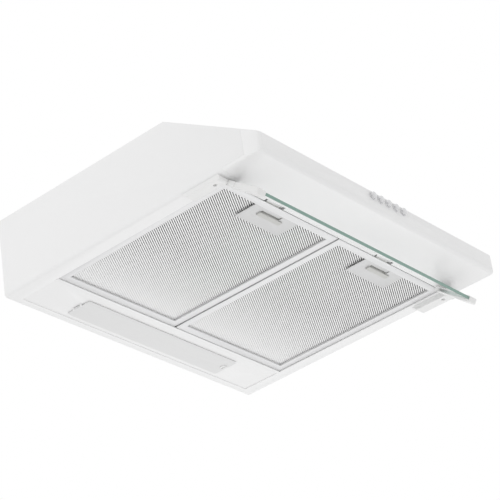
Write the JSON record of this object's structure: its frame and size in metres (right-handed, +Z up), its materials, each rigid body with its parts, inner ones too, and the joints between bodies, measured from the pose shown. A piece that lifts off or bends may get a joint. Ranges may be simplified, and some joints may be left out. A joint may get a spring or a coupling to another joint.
{
  "type": "under cabinet range hood",
  "caption": "White 60 cm under cabinet range hood with two swing-down mesh filters, a tilting glass visor, a push-button row and a lamp lens at the rear.",
  "frame": {"origin": "middle of the four cabinet screw holes, on the top face", "axes": "+Z up, +X to the right as seen from the front, front at -Y"},
  "size_m": [0.598, 0.54, 0.2249],
  "materials": {
    "white_enamel": "gloss",
    "white_plastic": "satin",
    "filter_aluminium": "brushed",
    "latch_plastic": "satin",
    "lens_plastic": "frosted",
    "lamp_glass": "opal",
    "lamp_holder_plastic": "satin",
    "visor_glass": "clear",
    "button_metal": "polished",
    "plain_steel": "bright",
    "galvanised_steel": "galvanised",
    "black_plastic": "satin",
    "terminal_plastic": "satin",
    "gland_rubber": "matte",
    "cable_sheath": "matte"
  },
  "bodies": {
    "hood": {"body_shell": "white_enamel", "front_fascia": "white_enamel", "fascia_brackets": "galvanised_steel", "fascia_screws": "plain_steel", "front_rail": "white_enamel", "light_panel": "white_enamel", "lamp_tray": "white_enamel", "lens_hinge_pin": "plain_steel", "lamp_holder_left": "lamp_holder_plastic", "lamp_holder_right": "lamp_holder_plastic", "lamp_left": "lamp_glass", "lamp_right": "lamp_glass", "catch_leaf_left": "plain_steel", "catch_leaf_right": "plain_steel", "visor_bracket_left": "white_plastic", "visor_bracket_right": "white_plastic", "bracket_screws": "plain_steel", "button_bezels": "button_metal", "switch_block": "black_plastic", "switch_bracket": "galvanised_steel", "blower_scroll": "galvanised_steel", "blower_inlet": "galvanised_steel", "blower_screws": "plain_steel", "motor": "galvanised_steel", "capacitor": "lamp_holder_plastic", "terminal_box": "terminal_plastic", "terminal_cover": "terminal_plastic", "cable_gland": "gland_rubber", "control_cable": "cable_sheath", "motor_cable": "cable_sheath", "lamp_cable": "cable_sheath", "outlet_box": "galvanised_steel", "duct_collar": "black_plastic", "collar_screws": "plain_steel", "flap_rod": "plain_steel", "rear_cover": "galvanised_steel"},
    "filter_left": {"filter_frame_left": "filter_aluminium", "filter_mesh_left": "filter_aluminium", "latch_plate_left": "filter_aluminium", "latch_spring_left": "plain_steel"},
    "filter_right": {"filter_frame_right": "filter_aluminium", "filter_mesh_right": "filter_aluminium", "latch_plate_right": "filter_aluminium", "latch_spring_right": "plain_steel"},
    "latch_left": {"latch_slider_left": "latch_plastic"},
    "latch_right": {"latch_slider_right": "latch_plastic"},
    "visor": {"visor_glass": "visor_glass", "visor_clamp_left": "white_plastic", "visor_clamp_right": "white_plastic"},
    "lens": {"lamp_lens": "lens_plastic", "lens_catch": "white_plastic"},
    "rotor": {"impeller": "black_plastic", "motor_shaft": "plain_steel"},
    "flap_front": {"flap_front": "black_plastic"},
    "flap_rear": {"flap_rear": "black_plastic"},
    "button_off": {"button_off": "button_metal"},
    "button_speed_1": {"button_speed_1": "button_metal"},
    "button_speed_2": {"button_speed_2": "button_metal"},
    "button_speed_3": {"button_speed_3": "button_metal"},
    "button_lamp": {"button_lamp": "button_metal"}
  },
  "joints": [
    {"name": "filter_left_swing", "type": "hinge", "parent": "hood", "child": "filter_left", "pos_m": [-0.1365, 0.108, -0.1385], "axis": [1, 0, 0], "range_deg": [0, 75], "deforming": ["catch_leaf_left"]},
    {"name": "latch_left_slide", "type": "slide", "parent": "filter_left", "child": "latch_left", "axis": [0, 1, 0], "range_m": [0, 0.005], "stiffness_N_per_m": 400, "springref_m": -0.004, "deforming": ["latch_spring_left"]},
    {"name": "filter_right_swing", "type": "hinge", "parent": "hood", "child": "filter_right", "pos_m": [0.1365, 0.108, -0.1385], "axis": [1, 0, 0], "range_deg": [0, 75], "deforming": ["catch_leaf_right"]},
    {"name": "latch_right_slide", "type": "slide", "parent": "filter_right", "child": "latch_right", "axis": [0, 1, 0], "range_m": [0, 0.005], "stiffness_N_per_m": 400, "springref_m": -0.004, "deforming": ["latch_spring_right"]},
    {"name": "visor_tilt", "type": "hinge", "parent": "hood", "child": "visor", "pos_m": [0, -0.247, -0.145], "axis": [1, 0, 0], "range_deg": [-37, 45]},
    {"name": "lens_swing", "type": "hinge", "parent": "hood", "child": "lens", "pos_m": [-0.1832, 0.154, -0.1411], "axis": [0, 1, 0], "range_deg": [0, 75], "deforming": ["lens_catch"]},
    {"name": "rotor_spin", "type": "hinge", "parent": "hood", "child": "rotor", "pos_m": [-0.068, -0.04, -0.062], "axis": [0, 0, 1], "continuous": true},
    {"name": "flap_front_swing", "type": "hinge", "parent": "hood", "child": "flap_front", "pos_m": [0, 0.115, 0.012], "axis": [-1, 0, 0], "range_deg": [0, 78]},
    {"name": "flap_rear_swing", "type": "hinge", "parent": "hood", "child": "flap_rear", "pos_m": [0, 0.115, 0.012], "axis": [1, 0, 0], "range_deg": [0, 78]},
    {"name": "button_off_press", "type": "slide", "parent": "hood", "child": "button_off", "axis": [0, 1, 0], "range_m": [0, 0.003], "stiffness_N_per_m": 600, "springref_m": -0.002},
    {"name": "button_speed_1_press", "type": "slide", "parent": "hood", "child": "button_speed_1", "axis": [0, 1, 0], "range_m": [0, 0.003], "stiffness_N_per_m": 600, "springref_m": -0.002},
    {"name": "button_speed_2_press", "type": "slide", "parent": "hood", "child": "button_speed_2", "axis": [0, 1, 0], "range_m": [0, 0.003], "stiffness_N_per_m": 600, "springref_m": -0.002},
    {"name": "button_speed_3_press", "type": "slide", "parent": "hood", "child": "button_speed_3", "axis": [0, 1, 0], "range_m": [0, 0.003], "stiffness_N_per_m": 600, "springref_m": -0.002},
    {"name": "button_lamp_press", "type": "slide", "parent": "hood", "child": "button_lamp", "axis": [0, 1, 0], "range_m": [0, 0.003], "stiffness_N_per_m": 600, "springref_m": -0.002}
  ]
}
